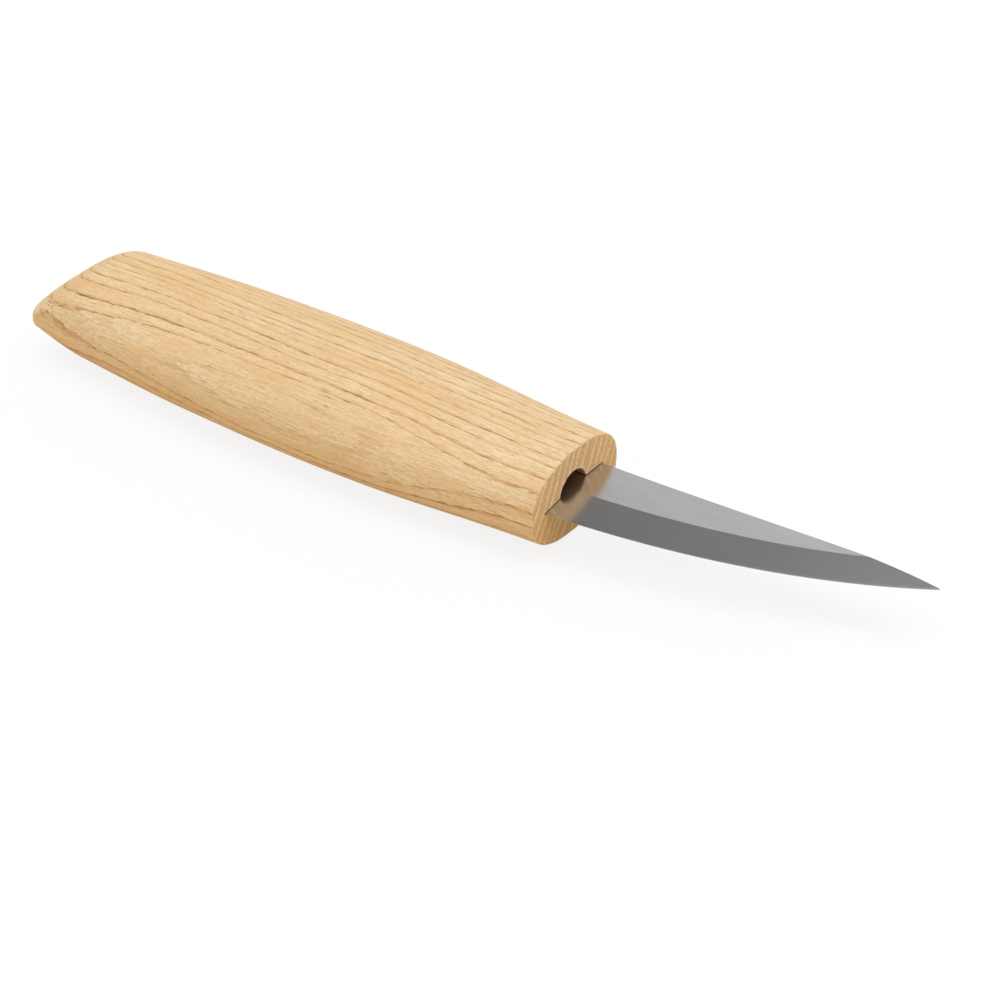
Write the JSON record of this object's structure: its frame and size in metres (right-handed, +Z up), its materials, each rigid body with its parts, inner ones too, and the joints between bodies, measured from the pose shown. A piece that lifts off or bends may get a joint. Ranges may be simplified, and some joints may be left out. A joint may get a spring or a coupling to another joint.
{
  "type": "whittling knife",
  "caption": "Fixed-blade whittling knife with a leaf-shaped double-ground steel blade glued into an oval, round-ended ash handle.",
  "frame": {"origin": "middle of the flat under the handle that the knife lies on, halfway along the handle", "axes": "+X along the handle to the blade's tip, +Y to the blade's spine, +Z up, square to the blade's flats"},
  "size_m": [0.1838, 0.0326, 0.0197],
  "materials": {
    "ash_wood": "sanded smooth and oiled, satin, straight ash grain with open pores",
    "blade_steel": "fine satin brushing on the flats, darker ground bevels",
    "set_adhesive": "clear amber cured adhesive"
  },
  "bodies": {
    "root": {"handle": "ash_wood", "blade": "blade_steel", "tang_adhesive": "set_adhesive"}
  },
  "joints": []
}
